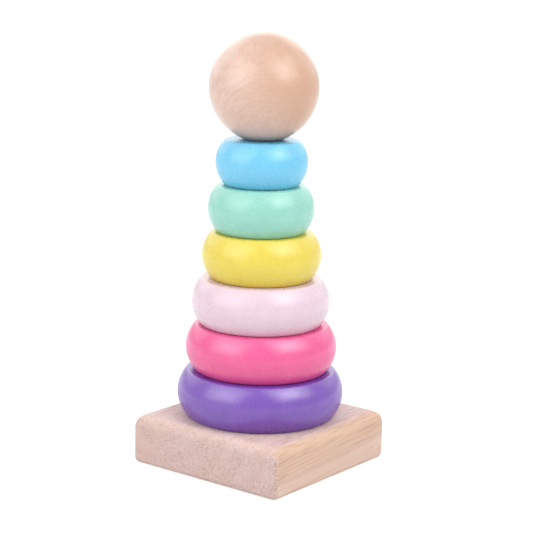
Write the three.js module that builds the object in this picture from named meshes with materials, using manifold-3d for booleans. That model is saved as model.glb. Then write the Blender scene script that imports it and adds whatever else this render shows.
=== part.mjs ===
// A wooden stacking ring toy: a square base block with a round post glued into it,
// six painted rings that drop over the post from the largest to the smallest, and a
// plain wooden ball with a blind hole that caps the post.
//
// Millimetres, +Z up. The origin is the centre of the base's underside. The base's
// sides lie along X and Y, and its grain runs along Y.

import * as THREE from "three";
import { mergeVertices } from "three/addons/utils/BufferGeometryUtils.js";
import Module from "manifold-3d";

// ---- Driving dimensions ---------------------------------------------------------

// The base block: eased corners, a soft round-over above and a slight one below.
const baseSide = 86;
const baseThickness = 23.75;
const baseCornerRadius = 2.4;
const baseTopRound = 5.6;
const baseUnderRound = 2.6;

// The post: a plain dowel with a domed tip, glued into a blind socket in the base.
const postDiameter = 12;
const socketFloor = 7.75;
const glueGap = 0.3;
const postAboveStack = 16;
const postTipRound = 4;

// The rings, from the bottom of the stack to the top, all cut from one thickness of
// board. The top one is sanded a little thinner than the rest. restShift is explained
// with the play, below.
const ringThickness = 22.125;
const topRingThinner = 0.7;
const rings = [
  { name: "purple_ring", diameter: 79, restShift: 0.16, colour: 0x7f57be },
  { name: "pink_ring", diameter: 71.7, restShift: 0.12, colour: 0xf0609f },
  { name: "blush_ring", diameter: 65.5, restShift: 0.5, colour: 0xf0d5e1 },
  { name: "yellow_ring", diameter: 56.4, restShift: 0.49, colour: 0xf3d94f },
  { name: "mint_ring", diameter: 50.2, restShift: 0.92, colour: 0x8fdabe },
  { name: "blue_ring", diameter: 43.5, restShift: 1, colour: 0x6fc8f2 },
];
const ringSideBulge = 4.6;
const ringEdgeRound = 2;
const boreEdgeRound = 0.4;

// The play between the post and every hole that drops over it. The pieces come to
// rest a little to one side: restShift is the share of the free play that a piece
// has taken up, and restHeading is the way they lean, in degrees from +X.
const borePlay = 1.75;
const smallestGap = 0.3;
const restHeading = 218;

// The ball: the same drill makes its hole, and a narrow flat round the hole's mouth
// is its seat on the top ring.
const ballDiameter = 51.2;
const ballTipClearance = 4;
const ballSeatWidth = 0.85;
const ballRestShift = 0.72;

// Facets round a full turn of each kind of turned piece, and steps along its arcs.
const ringFacets = 48;
const postFacets = 32;
const ballSteps = 14;
const sideSteps = 6;
const edgeSteps = 2;
const roundSteps = 3;

// ---- Sizes that follow from them --------------------------------------------------

const postRadius = postDiameter / 2;
const boreRadius = postRadius + borePlay;
const ballRadius = ballDiameter / 2;
const stackTop = baseThickness + rings.length * ringThickness - topRingThinner;
const postTop = stackTop + postAboveStack;
const ballHoleDepth = postAboveStack + ballTipClearance;
const heading = THREE.MathUtils.degToRad(restHeading);

// ---- Helpers ------------------------------------------------------------------------

// Points on a circular arc from one angle to another, both ends included.
function arc(centreX, centreY, radius, fromAngle, toAngle, steps) {
  const points = [];
  for (let i = 0; i <= steps; i += 1) {
    const angle = fromAngle + ((toAngle - fromAngle) * i) / steps;
    const x = centreX + radius * Math.cos(angle);
    const y = centreY + radius * Math.sin(angle);
    points.push(new THREE.Vector2(x, y));
  }
  return points;
}

// A profile of (radius, height) points, turned about the Z axis.
function turned(profile, facets) {
  const geometry = new THREE.LatheGeometry(profile, facets);
  geometry.rotateX(Math.PI / 2);
  return geometry;
}

// A closed skin over level sections, which all have the same number of points.
function skinned(sections) {
  const count = sections[0].length;
  const positions = [];
  const index = [];
  for (const point of sections.flat()) positions.push(point.x, point.y, point.z);
  for (let s = 0; s < sections.length - 1; s += 1) {
    for (let i = 0; i < count; i += 1) {
      const a = s * count + i;
      const b = s * count + ((i + 1) % count);
      index.push(a, b, b + count, a, b + count, a + count);
    }
  }
  const last = (sections.length - 1) * count;
  for (let i = 1; i < count - 1; i += 1) {
    index.push(0, i + 1, i);
    index.push(last, last + i, last + i + 1);
  }
  const geometry = new THREE.BufferGeometry();
  geometry.setAttribute("position", new THREE.Float32BufferAttribute(positions, 3));
  geometry.setIndex(index);
  return geometry;
}

// Vertices closer than this are one vertex.
const weldDistance = 1e-4;

const wasm = await Module();
wasm.setup();

// A closed three.js geometry as a solid that can be cut or joined.
function solidOf(geometry) {
  const bare = geometry.clone();
  bare.deleteAttribute("normal");
  bare.deleteAttribute("uv");
  const merged = mergeVertices(bare, weldDistance);
  const vertProperties = new Float32Array(merged.attributes.position.array);
  const triVerts = new Uint32Array(merged.index.array);
  return new wasm.Manifold(new wasm.Mesh({ numProp: 3, vertProperties, triVerts }));
}

// A solid back as a three.js geometry.
function geometryOf(solid) {
  const mesh = solid.getMesh();
  const geometry = new THREE.BufferGeometry();
  geometry.setAttribute("position", new THREE.BufferAttribute(mesh.vertProperties, 3));
  geometry.setIndex(new THREE.BufferAttribute(mesh.triVerts, 1));
  geometry.computeVertexNormals();
  return geometry;
}

// Where a piece stands, off the post's axis, when it has taken up this share of the
// play that is free once the smallest gap is kept.
function shifted(share) {
  const distance = share * (borePlay - smallestGap);
  return new THREE.Vector2(distance * Math.cos(heading), distance * Math.sin(heading));
}

const toy = new THREE.Group();

function addPiece(name, geometry, finish, x, y, z) {
  const mesh = new THREE.Mesh(geometry, new THREE.MeshStandardMaterial(finish));
  mesh.name = name;
  mesh.position.set(x, y, z);
  toy.add(mesh);
}

const bareWood = { color: 0xdcb9a6, roughness: 0.6, metalness: 0 };
const paleWood = { color: 0xe6c2ae, roughness: 0.5, metalness: 0 };

// ---- Base -----------------------------------------------------------------------------

// One level section of the block, its sides drawn in by an inset.
function squareSection(inset, height) {
  const reach = baseSide / 2 - inset - baseCornerRadius;
  const corners = [
    [1, 1],
    [-1, 1],
    [-1, -1],
    [1, -1],
  ];
  return corners.flatMap(([x, y], turn) => {
    const start = (turn * Math.PI) / 2;
    const points = arc(x * reach, y * reach, baseCornerRadius, start, start + Math.PI / 2, roundSteps);
    return points.map((point) => new THREE.Vector3(point.x, point.y, height));
  });
}

function baseBlock() {
  const under = arc(baseUnderRound, baseUnderRound, baseUnderRound, -Math.PI / 2, -Math.PI, roundSteps);
  const topCentre = baseThickness - baseTopRound;
  const over = arc(baseTopRound, topCentre, baseTopRound, Math.PI, Math.PI / 2, 2 * roundSteps);
  const edge = [...under, ...over];
  return skinned(edge.map((point) => squareSection(point.x, point.y)));
}

// The cutter for the post's socket. It stands out above the block as far as the
// socket's floor is thick, so that the mouth is cut clean.
function socketCutter() {
  const radius = postRadius + glueGap;
  const clear = baseThickness + socketFloor;
  const profile = [
    new THREE.Vector2(0, socketFloor),
    new THREE.Vector2(radius, socketFloor),
    new THREE.Vector2(radius, clear),
    new THREE.Vector2(0, clear),
  ];
  return turned(profile, postFacets);
}

const baseSolid = solidOf(baseBlock()).subtract(solidOf(socketCutter()));
addPiece("base", geometryOf(baseSolid), bareWood, 0, 0, 0);

// ---- Post -----------------------------------------------------------------------------

function postGeometry() {
  const foot = socketFloor + glueGap;
  const tipRound = Math.min(postTipRound, postRadius);
  const flat = postRadius - tipRound;
  const tip = arc(flat, postTop - tipRound, tipRound, 0, Math.PI / 2, roundSteps + 1);
  const profile = [new THREE.Vector2(0, foot), new THREE.Vector2(postRadius, foot), ...tip];
  if (flat > 0) profile.push(new THREE.Vector2(0, postTop));
  return turned(profile, postFacets);
}

addPiece("post", postGeometry(), paleWood, 0, 0, 0);

// ---- Rings ----------------------------------------------------------------------------

// A ring's section: flat faces above and below, a bulged side with rounded edges, and
// a straight bore. Heights are from the ring's underside.
function ringGeometry(diameter, thickness) {
  const radius = diameter / 2;
  const half = thickness / 2;
  const sideRadius = (half * half + ringSideBulge * ringSideBulge) / (2 * ringSideBulge);
  const sideCentre = radius - sideRadius;

  // The edge round touches the flat face and the bulged side from inside.
  const edgeHeight = half - ringEdgeRound;
  const reach = sideRadius - ringEdgeRound;
  const edgeCentre = sideCentre + Math.sqrt(reach * reach - edgeHeight * edgeHeight);
  const turn = Math.atan2(edgeHeight, edgeCentre - sideCentre);

  const low = arc(edgeCentre, half - edgeHeight, ringEdgeRound, -Math.PI / 2, -turn, edgeSteps);
  const side = arc(sideCentre, half, sideRadius, -turn, turn, sideSteps);
  const high = arc(edgeCentre, half + edgeHeight, ringEdgeRound, turn, Math.PI / 2, edgeSteps);
  const boreTop = new THREE.Vector2(boreRadius, thickness - boreEdgeRound);
  const boreFoot = new THREE.Vector2(boreRadius, boreEdgeRound);
  const profile = [
    new THREE.Vector2(boreRadius + boreEdgeRound, 0),
    ...low,
    ...side.slice(1, -1),
    ...high,
    new THREE.Vector2(boreRadius + boreEdgeRound, thickness),
    boreTop,
    boreFoot,
    new THREE.Vector2(boreRadius + boreEdgeRound, 0),
  ];
  return turned(profile, ringFacets);
}

rings.forEach((ring, level) => {
  const finish = { color: ring.colour, roughness: 0.38, metalness: 0 };
  const shift = shifted(ring.restShift);
  const seat = baseThickness + level * ringThickness;
  const thickness = level === rings.length - 1 ? ringThickness - topRingThinner : ringThickness;
  addPiece(ring.name, ringGeometry(ring.diameter, thickness), finish, shift.x, shift.y, seat);
});

// ---- Ball -----------------------------------------------------------------------------

// Heights are from the seat, the flat round the mouth of the hole.
function ballGeometry() {
  const seatRadius = boreRadius + ballSeatWidth;
  const centre = Math.sqrt(ballRadius * ballRadius - seatRadius * seatRadius);
  const start = Math.atan2(-centre, seatRadius);
  const skin = arc(0, centre, ballRadius, start, Math.PI / 2, ballSteps);
  const profile = [
    new THREE.Vector2(0, ballHoleDepth),
    new THREE.Vector2(boreRadius, ballHoleDepth),
    new THREE.Vector2(boreRadius, 0),
    ...skin.slice(0, -1),
    new THREE.Vector2(0, centre + ballRadius),
  ];
  return turned(profile, ringFacets);
}

const ballShift = shifted(ballRestShift);
addPiece("ball", ballGeometry(), paleWood, ballShift.x, ballShift.y, stackTop);

export default toy;
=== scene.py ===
# %% [markdown]
# # A wooden stacking ring toy
#
# The toy is a square base block of bare wood, a dowel glued upright in it, six turned
# and painted rings that drop over the dowel, and a plain wooden ball that caps it. The
# imported model already holds the true sizes and places of all nine pieces. This lesson
# models each piece again with a fine surface in exactly the same place, gives it its
# finish, and lights it softly on a pale floor.
#
# The frame is loaded first. Its box is taken before anything is added.

# %% Load the frame
import math

import bpy
from mathutils import Matrix, Vector


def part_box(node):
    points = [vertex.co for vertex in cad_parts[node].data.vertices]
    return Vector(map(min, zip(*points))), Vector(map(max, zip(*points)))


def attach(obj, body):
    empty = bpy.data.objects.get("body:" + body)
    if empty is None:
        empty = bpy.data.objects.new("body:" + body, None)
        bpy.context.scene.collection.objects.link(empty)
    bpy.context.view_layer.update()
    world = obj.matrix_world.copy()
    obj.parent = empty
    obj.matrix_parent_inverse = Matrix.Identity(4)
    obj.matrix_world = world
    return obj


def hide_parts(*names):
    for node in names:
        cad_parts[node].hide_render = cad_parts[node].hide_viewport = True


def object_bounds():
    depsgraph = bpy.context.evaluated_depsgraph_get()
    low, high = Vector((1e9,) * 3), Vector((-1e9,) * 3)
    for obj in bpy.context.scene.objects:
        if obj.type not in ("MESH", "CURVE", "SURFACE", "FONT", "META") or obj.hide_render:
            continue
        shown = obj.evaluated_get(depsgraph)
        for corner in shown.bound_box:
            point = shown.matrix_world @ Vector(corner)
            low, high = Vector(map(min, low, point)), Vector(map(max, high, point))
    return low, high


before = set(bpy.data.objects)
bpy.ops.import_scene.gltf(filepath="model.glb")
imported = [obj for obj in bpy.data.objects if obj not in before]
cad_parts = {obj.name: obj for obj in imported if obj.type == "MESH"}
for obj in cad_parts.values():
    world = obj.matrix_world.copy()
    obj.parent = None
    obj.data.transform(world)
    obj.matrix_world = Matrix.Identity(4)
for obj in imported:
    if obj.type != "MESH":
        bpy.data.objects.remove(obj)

cad_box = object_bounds()
MM = 0.001
print("height in mm:", round((cad_box[1].z - cad_box[0].z) / MM, 2))

# %% [markdown]
# ## Sizes that the frame doesn't hold
#
# Places and outer sizes come from each node's own box. What a box can't say, such as
# how far a ring's side bulges, is a named value here.

# %% Name the sizes
BASE_CORNER = 2.4 * MM
BASE_TOP_ROUND = 5.6 * MM
BASE_UNDER_ROUND = 2.6 * MM
POST_TIP_ROUND = 4.0 * MM
POST_FOOT_CHAMFER = 0.6 * MM
SOCKET_FLOOR = 7.75 * MM
SOCKET_GAP = 0.06 * MM
RING_BULGE = 4.6 * MM
RING_EDGE = 2.0 * MM
BORE_RADIUS = 7.75 * MM
BORE_EDGE = 0.4 * MM
BALL_SEAT = 8.6 * MM
BALL_HOLE_DEPTH = 20.0 * MM
WELD = 0.005 * MM

# How finely round shapes are stepped.
FULL_TURN_STEPS = 160
DOWEL_STEPS = 96
SIDE_STEPS = 28
EDGE_STEPS = 8
BORE_EDGE_STEPS = 4

RINGS = ("purple_ring", "pink_ring", "blush_ring", "yellow_ring", "mint_ring", "blue_ring")


def middle(node):
    """The centre, lowest height, highest height and half width of a node's box."""
    low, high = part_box(node)
    centre = (low + high) / 2
    return centre, low.z, high.z, (high.x - low.x) / 2


for name in RINGS:
    print(name, "is", round(2 * middle(name)[3] / MM, 1), "mm across")

# %% [markdown]
# ## Helpers for modelling by hand
#
# Operators act on whatever is selected, so every piece starts from an empty selection.
# Edges and faces are picked by where they are, and a finished piece has its place in
# its mesh: its object sits at the origin, unturned and unscaled.


# %% Selection helpers
def clear_selection():
    bpy.ops.object.select_all(action="DESELECT")


def edit(select_mode="VERT"):
    bpy.ops.object.mode_set(mode="EDIT")
    bpy.ops.mesh.select_mode(type=select_mode)


def pick(kind, test):
    """In edit mode, selects the edges or faces whose corners pass a test."""
    piece = bpy.context.object
    bpy.ops.mesh.select_all(action="DESELECT")
    bpy.ops.object.mode_set(mode="OBJECT")
    mesh = piece.data
    place = piece.matrix_world
    for item in getattr(mesh, kind):
        if test([place @ mesh.vertices[i].co for i in item.vertices]):
            item.select = True
    bpy.ops.object.mode_set(mode="EDIT")


def apply_modifier(kind, **settings):
    """Adds a modifier with these settings to the active piece and applies it."""
    piece = bpy.context.object
    bpy.ops.object.modifier_add(type=kind)
    modifier = piece.modifiers[-1]
    for key, value in settings.items():
        setattr(modifier, key, value)
    bpy.ops.object.modifier_apply(modifier=modifier.name)


def finish_piece(name, smooth_angle=40.0):
    """Leaves edit mode, names the piece and puts its place into its mesh."""
    if bpy.context.mode != "OBJECT":
        bpy.ops.object.mode_set(mode="OBJECT")
    piece = bpy.context.object
    piece.name = name
    piece.data.name = name
    bpy.ops.object.transform_apply(location=True, rotation=True, scale=True)
    bpy.ops.object.shade_smooth_by_angle(angle=math.radians(smooth_angle))
    apply_modifier("WEIGHTED_NORMAL", keep_sharp=True)
    faces = len(piece.data.polygons)
    print(f"{name}: {faces} faces")
    clear_selection()
    return piece


# %% [markdown]
# ## Turned outlines
#
# A lathe cuts a ring by following an outline round its axis. Blender's Spin does the
# same, and it can draw the outline too: a single vertex is extruded along the straight
# stretches and spun about a centre for the round ones. One vertex travels the whole
# way, and the last step spins the closed wire through a full turn.


# %% Draw with one travelling vertex
def start_wire(x, y, z):
    """Adds a mesh that is one vertex, selected, in edit mode."""
    clear_selection()
    bpy.ops.mesh.primitive_plane_add(size=MM, location=(x, y, z))
    edit()
    bpy.ops.mesh.select_all(action="SELECT")
    bpy.ops.mesh.merge(type="CENTER")


def go(right=0.0, up=0.0):
    bpy.ops.mesh.extrude_region_move(TRANSFORM_OT_translate={"value": (right, 0.0, up)})


def sweep(centre, degrees, steps):
    """Carries the vertex round a centre. Positive is anticlockwise with X right and Z up."""
    bpy.ops.mesh.spin(
        steps=steps, angle=math.radians(degrees), center=centre, axis=(0.0, 1.0, 0.0)
    )


def turn_full(x, y, steps):
    """Spins the whole wire about an upright axis and closes the seam."""
    bpy.ops.mesh.select_all(action="SELECT")
    bpy.ops.mesh.remove_doubles(threshold=WELD)
    bpy.ops.mesh.select_all(action="SELECT")
    bpy.ops.mesh.spin(
        steps=steps, angle=2 * math.pi, center=(x, y, 0.0), axis=(0.0, 0.0, 1.0)
    )
    bpy.ops.mesh.select_all(action="SELECT")
    bpy.ops.mesh.remove_doubles(threshold=WELD)
    bpy.ops.mesh.normals_make_consistent(inside=False)


# %% [markdown]
# ## The rings
#
# A ring is sawn from a board, drilled, and turned to a barrel side between two flat
# faces. The side is a circular arc whose sagitta is the bulge. A small round joins it
# to each flat face, and its centre is found where a circle of that radius touches both
# the arc and the flat from inside. The bore's edges are eased too.


# %% Turn one ring
def make_ring(node):
    centre, foot, top, radius = middle(node)
    x, y = centre.x, centre.y
    half = (top - foot) / 2
    side = (half**2 + RING_BULGE**2) / (2 * RING_BULGE)
    side_centre = x + radius - side
    rise = half - RING_EDGE
    edge_centre = side_centre + math.sqrt((side - RING_EDGE) ** 2 - rise**2)
    turn = math.degrees(math.atan2(rise, edge_centre - side_centre))
    bore_edge = x + BORE_RADIUS + BORE_EDGE

    start_wire(bore_edge, y, foot)
    go(right=edge_centre - bore_edge)
    sweep((edge_centre, y, foot + RING_EDGE), 90 - turn, EDGE_STEPS)
    sweep((side_centre, y, foot + half), 2 * turn, SIDE_STEPS)
    sweep((edge_centre, y, top - RING_EDGE), 90 - turn, EDGE_STEPS)
    go(right=bore_edge - edge_centre)
    sweep((bore_edge, y, top - BORE_EDGE), 90, BORE_EDGE_STEPS)
    go(up=2 * BORE_EDGE - (top - foot))
    sweep((bore_edge, y, foot + BORE_EDGE), 90, BORE_EDGE_STEPS)
    turn_full(x, y, FULL_TURN_STEPS)
    return finish_piece("turned_" + node)


rings = {node: make_ring(node) for node in RINGS}

# %% [markdown]
# ## The ball
#
# A ball blank is drilled from below and sits on a narrow flat round the hole. It starts
# as a sphere primitive. Bisect cuts it at the seat and fills the cut, inset marks the
# hole's mouth in that flat, and extrude pushes the mouth up into the wood.

# %% Cut and drill the ball
centre, seat, crown, ball_radius = middle("ball")
ball_centre = Vector((centre.x, centre.y, crown - ball_radius))
clear_selection()
bpy.ops.mesh.primitive_uv_sphere_add(
    segments=FULL_TURN_STEPS, ring_count=96, radius=ball_radius, location=ball_centre
)
edit("FACE")
bpy.ops.mesh.select_all(action="SELECT")
bpy.ops.mesh.bisect(
    plane_co=(centre.x, centre.y, seat), plane_no=(0, 0, 1), use_fill=True, clear_inner=True
)
pick("polygons", lambda points: max(point.z for point in points) < seat + WELD)
bpy.ops.mesh.inset(thickness=BALL_SEAT - BORE_RADIUS)
bpy.ops.mesh.extrude_region_move(TRANSFORM_OT_translate={"value": (0, 0, BALL_HOLE_DEPTH)})
bpy.ops.mesh.select_all(action="SELECT")
bpy.ops.mesh.normals_make_consistent(inside=False)
ball = finish_piece("turned_ball")

# %% [markdown]
# ## The post
#
# A length of dowel with a domed tip, so that a small hand finds the hole easily. A
# cylinder primitive gets its dome by a wide bevel with many segments on its top edge
# and a small chamfer at the foot, which helps it into its socket.

# %% Round the dowel's ends
centre, foot, tip, post_radius = middle("post")
clear_selection()
bpy.ops.mesh.primitive_cylinder_add(
    vertices=DOWEL_STEPS,
    radius=post_radius,
    depth=tip - foot,
    location=(0, 0, (tip + foot) / 2),
)
edit("EDGE")
pick("edges", lambda points: min(point.z for point in points) > tip - WELD)
bpy.ops.mesh.bevel(offset=POST_TIP_ROUND, segments=14, profile=0.5)
pick("edges", lambda points: max(point.z for point in points) < foot + WELD)
bpy.ops.mesh.bevel(offset=POST_FOOT_CHAMFER, segments=1)
post = finish_piece("dowel_post")

# %% [markdown]
# ## The base
#
# A planed block with its upright corners just eased, its top edges rounded by a router
# and its bottom edges broken. One bevel does all three, because it then blends them at
# the corners: each edge carries a weight, which is its share of the widest round. The
# socket comes last: the top face is taken out, a circle is added in the opening, the
# two loops are bridged, and the circle's edge is extruded down to the socket's floor.

# %% Shape the block
low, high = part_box("base")
clear_selection()
bpy.ops.mesh.primitive_cube_add(size=1.0, location=(low + high) / 2, scale=high - low)
bpy.ops.object.transform_apply(location=True, rotation=True, scale=True)
block = bpy.context.object
weights = block.data.attributes.new("bevel_weight_edge", "FLOAT", "EDGE")
for edge in block.data.edges:
    first, second = (block.data.vertices[i].co for i in edge.vertices)
    if abs(first.z - second.z) > WELD:
        round_size = BASE_CORNER
    elif first.z > high.z - WELD:
        round_size = BASE_TOP_ROUND
    else:
        round_size = BASE_UNDER_ROUND
    weights.data[edge.index].value = round_size / BASE_TOP_ROUND
apply_modifier("BEVEL", limit_method="WEIGHT", width=BASE_TOP_ROUND, segments=9, profile=0.5)
print("block shaped:", len(block.data.polygons), "faces")

# %% Open the socket
edit("FACE")
pick("polygons", lambda points: min(point.z for point in points) > high.z - WELD)
bpy.ops.mesh.delete(type="FACE")
socket_radius = post_radius + SOCKET_GAP
bpy.ops.mesh.primitive_circle_add(
    vertices=DOWEL_STEPS, radius=socket_radius, location=(0, 0, high.z)
)
bpy.ops.mesh.select_mode(type="EDGE")
bpy.ops.mesh.select_all(action="DESELECT")
bpy.ops.mesh.select_non_manifold()
bpy.ops.mesh.bridge_edge_loops()
pick("edges", lambda points: max(math.hypot(p.x, p.y) for p in points) < socket_radius + WELD)
bpy.ops.mesh.extrude_region_move(
    TRANSFORM_OT_translate={"value": (0, 0, SOCKET_FLOOR - high.z)}
)
bpy.ops.mesh.edge_face_add()
bpy.ops.mesh.select_all(action="SELECT")
bpy.ops.mesh.normals_make_consistent(inside=False)
base = finish_piece("base_block")

# %% [markdown]
# ## Shader sums as Python
#
# A finish is a sum of patterns. One small class wraps a node's output and overloads
# the operators, so that `1 - mask` adds the Math node that it needs. Every other node
# comes from one method that takes its type, its settings and its inputs.


# %% The node helpers
class Value:
    """A node's output that can be used in sums."""

    def __init__(self, finish, socket):
        self.finish = finish
        self.socket = socket

    def __add__(self, other):
        return self.finish.math("ADD", self, other)

    def __sub__(self, other):
        return self.finish.math("SUBTRACT", self, other)

    def __rsub__(self, other):
        return self.finish.math("SUBTRACT", other, self)

    def __mul__(self, other):
        return self.finish.math("MULTIPLY", self, other)

    def __truediv__(self, other):
        return self.finish.math("DIVIDE", self, other)

    __radd__ = __add__
    __rmul__ = __mul__


class Finish:
    """A material and its node tree."""

    def __init__(self, name):
        self.material = bpy.data.materials.new(name)
        self.material.use_nodes = True
        self.tree = self.material.node_tree
        self.shader = self.tree.nodes["Principled BSDF"]

    def plug(self, socket, value):
        if isinstance(value, Value):
            self.tree.links.new(value.socket, socket)
        else:
            socket.default_value = value

    def node(self, kind, inputs=None, settings=None, output=0):
        """Adds a node. Its settings are set first, because some change its sockets."""
        made = self.tree.nodes.new(kind)
        for key, value in (settings or {}).items():
            setattr(made, key, value)
        for key, value in (inputs or {}).items():
            self.plug(made.inputs[key], value)
        return Value(self, made.outputs[output])

    def math(self, operation, *values):
        return self.node("ShaderNodeMath", dict(enumerate(values)), {"operation": operation})

    def step(self, value, start, end):
        """0 below start, 1 above end, and smooth between. Start may be the larger one."""
        inputs = {"Value": value, "From Min": start, "From Max": end}
        return self.node("ShaderNodeMapRange", inputs, {"interpolation_type": "SMOOTHSTEP"})

    def mix(self, factor, first, second, blend="MIX"):
        """Mixes two colours."""
        settings = {"data_type": "RGBA", "blend_type": blend}
        return self.node("ShaderNodeMix", {0: factor, 6: first, 7: second}, settings, output=2)

    def place(self, centre, turn=(0, 0, 0)):
        """Object coordinates from a centre, turned, in millimetres."""
        spot = self.node("ShaderNodeTexCoord", output=3)
        moved = self.node(
            "ShaderNodeVectorMath", {0: spot, 1: tuple(centre)}, {"operation": "SUBTRACT"}
        )
        settings = {"vector_type": "TEXTURE"}
        turned = self.node("ShaderNodeMapping", {"Vector": moved, "Rotation": turn}, settings)
        return self.stretch(turned, (1 / MM, 1 / MM, 1 / MM))

    def shift(self, vector, by):
        settings = {"operation": "ADD"}
        return self.node("ShaderNodeVectorMath", {0: vector, 1: tuple(by)}, settings)

    def stretch(self, vector, scale):
        return self.node(
            "ShaderNodeVectorMath", {0: vector, 1: tuple(scale)}, {"operation": "MULTIPLY"}
        )

    def noise(self, vector, scale, detail=2.0, roughness=0.5):
        inputs = {"Vector": vector, "Scale": scale, "Detail": detail, "Roughness": roughness}
        return self.node("ShaderNodeTexNoise", inputs)

    def cells(self, vector, scale):
        """How far a point is from the nearest cell's centre, in cells."""
        return self.node("ShaderNodeTexVoronoi", {"Vector": vector, "Scale": scale})

    def parts(self, vector):
        """The three coordinates of a vector."""
        return [
            self.node("ShaderNodeSeparateXYZ", {"Vector": vector}, output=i) for i in range(3)
        ]

    def joined(self, x, y, z):
        return self.node("ShaderNodeCombineXYZ", {"X": x, "Y": y, "Z": z})

    def bump(self, height, distance):
        inputs = {"Height": height, "Distance": distance, "Strength": 1.0}
        return self.node("ShaderNodeBump", inputs)

    def set(self, **sockets):
        """Sets or links the shader's own sockets: Base_Color stands for Base Color."""
        for key, value in sockets.items():
            self.plug(self.shader.inputs[key.replace("_", " ")], value)
        return self.material


def paint(red, green, blue):
    """A colour as a screen shows it, 0 to 255, made linear for the shader."""

    def linear(level):
        share = level / 255
        return share / 12.92 if share <= 0.04045 else ((share + 0.055) / 1.055) ** 2.4

    return (linear(red), linear(green), linear(blue), 1.0)


# %% [markdown]
# ## Wood
#
# Wood is a solid pattern, so a block, a ball and a dowel can share one recipe that
# reads Object coordinates. The grain runs along one local axis, here Y. Growth rings
# are cylinders about the pith, a line along the grain that may lie outside the piece.
# Pores are long thin cells: cut across they show as dots, and cut along they show as
# streaks, which is just how end grain and long grain differ on a real block.


# %% The wood recipe
def wood_pattern(finish, spot, pith, year_width, first_year, seed):
    """Masks of a piece of pale hardwood whose grain runs along the Y of this place."""
    shifted = finish.shift(spot, (seed, 2.3 * seed, 1.7 * seed))
    x, y, z = finish.parts(spot)
    sway = finish.noise(finish.stretch(shifted, (0.025, 0.012, 0.025)), 1.0) - 0.5
    lean = finish.noise(finish.stretch(shifted, (0.04, 0.015, 0.03)), 1.4) - 0.5
    bent = finish.joined(x + sway * 3.5 + y * 0.02, y, z + lean * 3 - y * 0.015)
    bx, by, bz = finish.parts(bent)
    away_x = bx - pith[0]
    away_z = bz - pith[1]
    radius = finish.math("SQRT", away_x * away_x + away_z * away_z)
    uneven = finish.noise(finish.stretch(bent, (0.11, 0.006, 0.11)), 1.0, detail=1.0) - 0.5
    age = (radius - first_year + uneven * 2.2) / year_width
    year = finish.math("FRACT", age + 10)
    late = finish.step(year, 0.4, 0.86) * finish.step(year, 1.0, 0.9)
    line = finish.step(year, 0.84, 0.95) * finish.step(year, 1.0, 0.97)
    ray = finish.noise(finish.stretch(bent, (0.2, 0.05, 0.2)), 1.0, detail=3.0)
    fine = finish.cells(finish.stretch(bent, (1.0, 0.05, 1.0)), 1.0)
    worms = finish.noise(finish.stretch(bent, (0.95, 0.06, 0.95)), 1.0, detail=2.0)
    around = finish.joined(radius * 1.3, away_x / radius * 3.5, away_z / radius * 3.5)
    arcs = finish.noise(around, 1.0, detail=3.0)
    coarse = finish.cells(finish.stretch(bent, (0.4, 0.03, 0.4)), 1.0)
    presence = finish.noise(finish.stretch(bent, (0.09, 0.03, 0.09)), 1.0)
    long_cells = finish.noise(
        finish.stretch(bent, (2.2, 0.06, 2.2)), 1.0, detail=4.0, roughness=0.7
    )
    streak = finish.noise(
        finish.stretch(bent, (1.6, 0.022, 1.6)), 1.0, detail=3.0, roughness=0.6
    )
    patch = finish.noise(finish.stretch(shifted, (0.04, 0.014, 0.04)), 1.0)
    return {
        "radius": radius,
        "late": late,
        "line": line * finish.step(ray, 0.3, 0.55),
        "pores": finish.step(fine, 0.5, 0.16) * finish.step(presence, 0.28, 0.62),
        "worms": finish.step(worms, 0.3, 0.7),
        "arcs": arcs,
        "vessels": finish.step(coarse, 0.15, 0.05),
        "fibre": long_cells,
        "streak": streak,
        "patch": finish.step(patch, 0.32, 0.68),
    }
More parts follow.
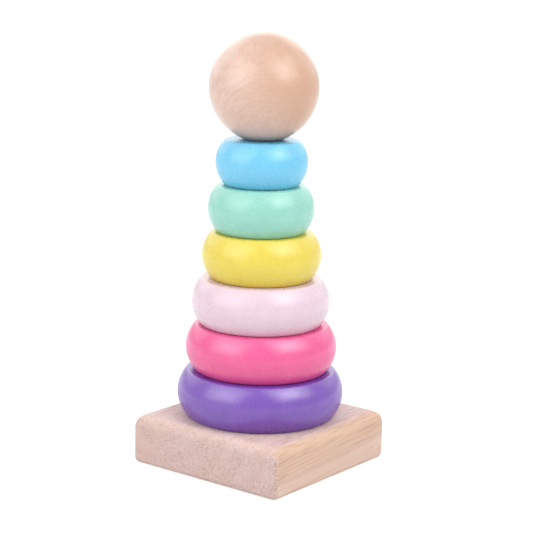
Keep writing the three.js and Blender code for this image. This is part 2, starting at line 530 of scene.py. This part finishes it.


# %% [markdown]
# The base is bare sanded wood, with its pith above the block. Across the end grain it
# is pinkish and dotted, with soft dark bands where the growth rings pass. Along the
# grain it is warmer, with one yellower layer, brown streaks and long pores. Its top is
# painted paler, as painted light from above. End grain shows where the block ends
# along Y. A thin browned line follows the upright corners. Bare wood has no coat, so it
# is rough.


# %% Base wood
def base_wood():
    finish = Finish("base_wood")
    spot = finish.place((0, 0, 0), turn=(math.radians(3.5), 0, math.radians(-1.0)))
    wood = wood_pattern(finish, spot, (-27, 42), 10.5, 4.0, 11.0)
    x, y, z = finish.parts(finish.place((0, 0, 0)))
    end_grain = finish.step(finish.math("ABSOLUTE", y), 40.0, 42.7)

    warm_layer = finish.step(wood["radius"], 77.5, 74.5) * finish.step(wood["radius"], 66, 70)
    side_tone = finish.mix(wood["patch"], paint(213, 185, 169), paint(211, 179, 158))
    # Painted light: from 21.5 mm up, toward the top face, the long grain is painted paler, as if
    # lit from above.
    long_tone = finish.mix(finish.step(z, 21.5, 23.6), side_tone, paint(213, 188, 182))
    long_tone = finish.mix(warm_layer * 0.8, long_tone, paint(205, 165, 130))
    end_tone = finish.mix(wood["patch"], paint(203, 176, 175), paint(200, 170, 162))
    end_tone = finish.mix(wood["worms"] * 0.5, end_tone, paint(180, 147, 138))
    tone = finish.mix(end_grain, long_tone, end_tone)

    streaks = finish.step(wood["streak"], 0.54, 0.62) * (1 - end_grain)
    tone = finish.mix(streaks * 0.7, tone, paint(184, 134, 102))
    tone = finish.mix(wood["late"] * (0.1 + end_grain * 0.1), tone, paint(176, 140, 130))
    tone = finish.mix(wood["line"] * (0.3 - end_grain * 0.2), tone, paint(166, 124, 110))
    tone = finish.mix(wood["fibre"] * 0.5, tone, paint(226, 204, 194))
    tone = finish.mix(wood["pores"] * (0.16 + end_grain * 0.26), tone, paint(134, 98, 90))
    tone = finish.mix(wood["vessels"] * 0.6, tone, paint(136, 92, 76))

    corner = finish.math("MINIMUM", finish.math("ABSOLUTE", x), finish.math("ABSOLUTE", y))
    below_round = finish.step(z, 21, 17)
    worn = finish.step(corner, 41.9, 42.3) * below_round * finish.step(wood["worms"], 0.15, 0.7)
    tone = finish.mix(worn * 0.6, tone, paint(150, 104, 84))

    relief = wood["fibre"] * 0.35 - wood["pores"] * 0.7 - wood["vessels"] * 0.8
    rough = 0.5 + wood["fibre"] * 0.16
    return finish.set(
        Base_Color=tone,
        Roughness=rough,
        Normal=finish.bump(relief, 0.07 * MM),
        Specular_IOR_Level=0.4,
    )


# %% [markdown]
# The ball and the post are a closer, paler wood, sanded finer. The ball's grain meets
# its surface low on one side, so fine arcs circle that spot, and the wood is pinker
# there. Its flank on the camera's right is painted darker and tanner, as painted shade.
# A thin clear coat gives it a soft highlight.


# %% Fine wood
def fine_wood(name, centre, turn, pith, first_year, seed, shaded_flank, coat):
    finish = Finish(name)
    spot = finish.place(centre, turn=turn)
    wood = wood_pattern(finish, spot, pith, 5.6, first_year, seed)
    x, y, z = finish.parts(finish.place(centre))
    # Painted shade: the ball's flank on the camera's right is painted darker and tanner.
    side = finish.step(x * shaded_flank[0] + y * shaded_flank[1], -20, 16)
    tone = finish.mix(side, paint(203, 173, 161), paint(183, 138, 108))
    tone = finish.mix(wood["patch"] * 0.3, tone, paint(201, 163, 138))
    tone = finish.mix(finish.step(wood["radius"], 18, 4) * 0.5, tone, paint(208, 182, 172))
    tone = finish.mix(wood["late"] * 0.08, tone, paint(190, 148, 124))
    edge = finish.step(wood["radius"], 9, 12) * finish.step(wood["radius"], 25, 22)
    tone = finish.mix(wood["line"] * edge * 0.12, tone, paint(168, 118, 98))
    tone = finish.mix(finish.step(wood["arcs"], 0.46, 0.62) * 0.3, tone, paint(182, 138, 114))
    tone = finish.mix(finish.step(wood["streak"], 0.52, 0.72) * 0.1, tone, paint(190, 148, 125))
    tone = finish.mix(wood["fibre"] * 0.3, tone, paint(218, 188, 170))
    tone = finish.mix(wood["pores"] * 0.16, tone, paint(164, 122, 104))
    relief = wood["arcs"] * 0.9 - wood["pores"] * 0.3 - wood["line"] * 0.2
    rough = 0.42 + wood["arcs"] * 0.12
    return finish.set(
        Base_Color=tone,
        Roughness=rough,
        Normal=finish.bump(relief, 0.04 * MM),
        Coat_Weight=coat,
        Coat_Roughness=0.22,
    )


# %% [markdown]
# ## Paint
#
# The rings wear a satin lacquer. It evens the wood out but doesn't hide it: a faint
# grain and a few pits show in the gloss, the colour is a touch uneven, and the bore
# stays bare where the brush didn't reach.


# %% Paint recipe
def painted_wood(node, colour, deep, turn, gloss):
    finish = Finish(node + "_paint")
    centre = middle(node)[0]
    spot = finish.place(centre, turn=(0, 0, math.radians(turn)))
    wood = wood_pattern(finish, spot, (-60, -30), 4.5, 0.0, turn * 0.37)
    plain = finish.place(centre)
    x, y, z = finish.parts(plain)
    mottle = finish.noise(plain, 0.13, detail=3.0)
    skin = finish.noise(plain, 0.6, detail=2.0)
    pits = finish.step(finish.cells(plain, 0.28), 0.1, 0.05)
    tone = finish.mix(finish.step(mottle, 0.3, 0.7), colour, deep)
    tone = finish.mix(skin * 0.5, tone, deep)
    marks = wood["line"] * 0.08 + wood["pores"] * 0.05 + pits * 0.18
    tone = finish.mix(marks, tone, deep, "MULTIPLY")
    reach = finish.math("SQRT", x * x + y * y) + skin * 0.8
    bare = finish.step(reach, 8.6, 8.2)
    tone = finish.mix(bare, tone, paint(205, 172, 152))

    relief = skin * 0.8 - wood["pores"] * 0.12 - pits * 0.4
    rough = 0.24 + skin * 0.06 + bare * 0.35
    return finish.set(
        Base_Color=tone,
        Roughness=rough,
        Normal=finish.bump(relief, 0.006 * MM),
        Specular_IOR_Level=gloss,
    )


# %% Dress the pieces
COLOURS = {
    "purple_ring": (paint(112, 68, 171), paint(105, 61, 163), 20, 1.0),
    "pink_ring": (paint(225, 86, 144), paint(219, 78, 137), 75, 0.85),
    "blush_ring": (paint(217, 194, 205), paint(212, 188, 200), 130, 0.6),
    "yellow_ring": (paint(219, 201, 82), paint(215, 194, 72), 10, 0.6),
    "mint_ring": (paint(144, 202, 187), paint(137, 196, 181), 100, 0.6),
    "blue_ring": (paint(113, 191, 224), paint(105, 185, 219), 50, 0.6),
}


def dress(piece, material, node, body):
    piece.data.materials.clear()
    piece.data.materials.append(material)
    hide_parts(node)
    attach(piece, body)
    print(piece.name, "stands for", node, "and rides on", body)


dress(base, base_wood(), "base", "stand")
upright = (math.radians(90), 0, 0)
post_finish = fine_wood("post_wood", (0, 0, 0), upright, (-30, -40), 0.0, 5.0, (0, 0), 0.0)
dress(post, post_finish, "post", "stand")
ball_turn = (math.radians(-40.6), 0, math.radians(-137.8))
# The side that takes the painted shade: the camera's right.
shaded_flank = (0.788, 0.616)
ball_finish = fine_wood("ball_wood", ball_centre, ball_turn, (1.0, 0.5), 1.8, 3.0, shaded_flank, 0.75)
dress(ball, ball_finish, "ball", "ball")
for node, (colour, deep, turn, gloss) in COLOURS.items():
    material = painted_wood(node, colour, deep, turn, gloss)
    dress(rings[node], material, node, node)

# %% [markdown]
# ## Floor and light
#
# The toy stands on a white acrylic table that glows a little from below, as product
# tables do, so that its shadow nearly vanishes. A big softbox with a hotter middle
# stands to each side of the camera, weaker panels light it from behind and above, and a
# white sky fills the rest. The camera never sees the panels, only what they light. A
# studio's white ground is bright enough to glare, which would wash out the colours, so
# the sky and the table are brighter to the camera, and in gloss, than in the light they
# give.

# %% Floor and sky
def seen_brighter(tree, lit, mirrored, seen):
    """A strength: lit for diffuse light, mirrored for reflections, seen for the camera."""
    path = tree.nodes.new("ShaderNodeLightPath")
    in_gloss = tree.nodes.new("ShaderNodeMapRange")
    in_gloss.inputs["To Min"].default_value = lit
    in_gloss.inputs["To Max"].default_value = mirrored
    tree.links.new(path.outputs["Is Glossy Ray"], in_gloss.inputs["Value"])
    in_view = tree.nodes.new("ShaderNodeMapRange")
    in_view.inputs["To Max"].default_value = seen
    tree.links.new(in_gloss.outputs["Result"], in_view.inputs["To Min"])
    tree.links.new(path.outputs["Is Camera Ray"], in_view.inputs["Value"])
    return in_view.outputs["Result"]


clear_selection()
bpy.ops.mesh.primitive_plane_add(size=12.0, location=(0, 0, 0))
floor = finish_piece("floor")
surface = Finish("floor_white")
spot = surface.place((0, 0, 0))
grain = surface.noise(spot, 0.4, detail=2.0)
fx, fy, fz = surface.parts(spot)
away = surface.math("SQRT", fx * fx + fy * fy)
glow = Value(surface, seen_brighter(surface.tree, 0.28, 0.4, 0.66))
glow = glow + surface.step(away, 120, 420) * 0.3
floor.data.materials.append(
    surface.set(
        Base_Color=surface.mix(grain, paint(186, 186, 186), paint(190, 190, 190)),
        Roughness=0.8,
        Specular_IOR_Level=0.2,
        Emission_Color=surface.joined(glow, glow, glow),
        Emission_Strength=1.0,
    )
)

world = bpy.data.worlds.new("studio")
bpy.context.scene.world = world
world.use_nodes = True
sky = world.node_tree.nodes["Background"]
sky.inputs["Color"].default_value = (1.0, 1.0, 1.0, 1.0)
brightness = seen_brighter(world.node_tree, 0.475, 0.85, 1.0)
world.node_tree.links.new(brightness, sky.inputs["Strength"])
bpy.context.scene.view_settings.view_transform = "Standard"


# %% Softboxes
CAMERA_AZIMUTH = 37.87
AIM = Vector((0, 0, cad_box[1].z / 2))


def softbox(name, azimuth, elevation, distance, width, height, power):
    """A panel that faces the toy. Its azimuth is counted from the camera's, to the right."""
    heading = math.radians(CAMERA_AZIMUTH + azimuth)
    lift = math.radians(elevation)
    back = Vector(
        (math.sin(heading) * math.cos(lift), -math.cos(heading) * math.cos(lift), math.sin(lift))
    )
    light = bpy.data.lights.new(name, "AREA")
    light.shape = "RECTANGLE"
    light.size = width
    light.size_y = height
    light.energy = power
    lamp = bpy.data.objects.new(name, light)
    bpy.context.scene.collection.objects.link(lamp)
    lamp.location = AIM + back * distance
    lamp.rotation_euler = back.to_track_quat("Z", "Y").to_euler()
    lamp.visible_camera = False
    return lamp


softbox("softbox_right", 54, 42, 1.0, 1.0, 0.85, 5.8)
softbox("softbox_right_core", 50, 39, 0.98, 0.4, 0.4, 1.35)
softbox("softbox_left", -56, 32, 1.0, 1.0, 1.0, 5.7)
softbox("softbox_left_core", -53, 27, 0.98, 0.5, 0.4, 0.7)
softbox("backdrop_light", 180, 25, 1.2, 1.2, 0.9, 3.6)
softbox("side_light_left", -132, 30, 1.1, 0.8, 0.9, 1.7)
softbox("side_light_right", 132, 30, 1.1, 0.8, 0.9, 1.4)
softbox("panel_overhead", 0, 90, 1.1, 1.0, 1.0, 1.1)

# %% [markdown]
# ## The camera
#
# A long lens about 80 cm away, a little above the toy and looking slightly down on it,
# turned so that one corner of the base points nearly at it.

# %% Set the camera
LENS = 117.8
CAMERA_DISTANCE = 0.8039
CAMERA_HEIGHT = 0.26937
CAMERA_PITCH = 12.218
CAMERA_ROLL = 1.151
STANDPOINT_AZIMUTH = 37.991

camera_data = bpy.data.cameras.new("camera")
camera_data.lens = LENS
camera_data.sensor_width = 36.0
camera = bpy.data.objects.new("camera", camera_data)
bpy.context.scene.collection.objects.link(camera)
stand = math.radians(STANDPOINT_AZIMUTH)
spot = (CAMERA_DISTANCE * math.sin(stand), -CAMERA_DISTANCE * math.cos(stand), CAMERA_HEIGHT)
camera.matrix_world = (
    Matrix.Translation(spot)
    @ Matrix.Rotation(math.radians(CAMERA_AZIMUTH), 4, "Z")
    @ Matrix.Rotation(math.radians(90 - CAMERA_PITCH), 4, "X")
    @ Matrix.Rotation(math.radians(CAMERA_ROLL), 4, "Z")
)
bpy.context.scene.camera = camera

# %% [markdown]
# ## Bring the scene up to date
#
# The view layer is updated, so that every place is current.

# %% Update the view layer
bpy.context.view_layer.update()
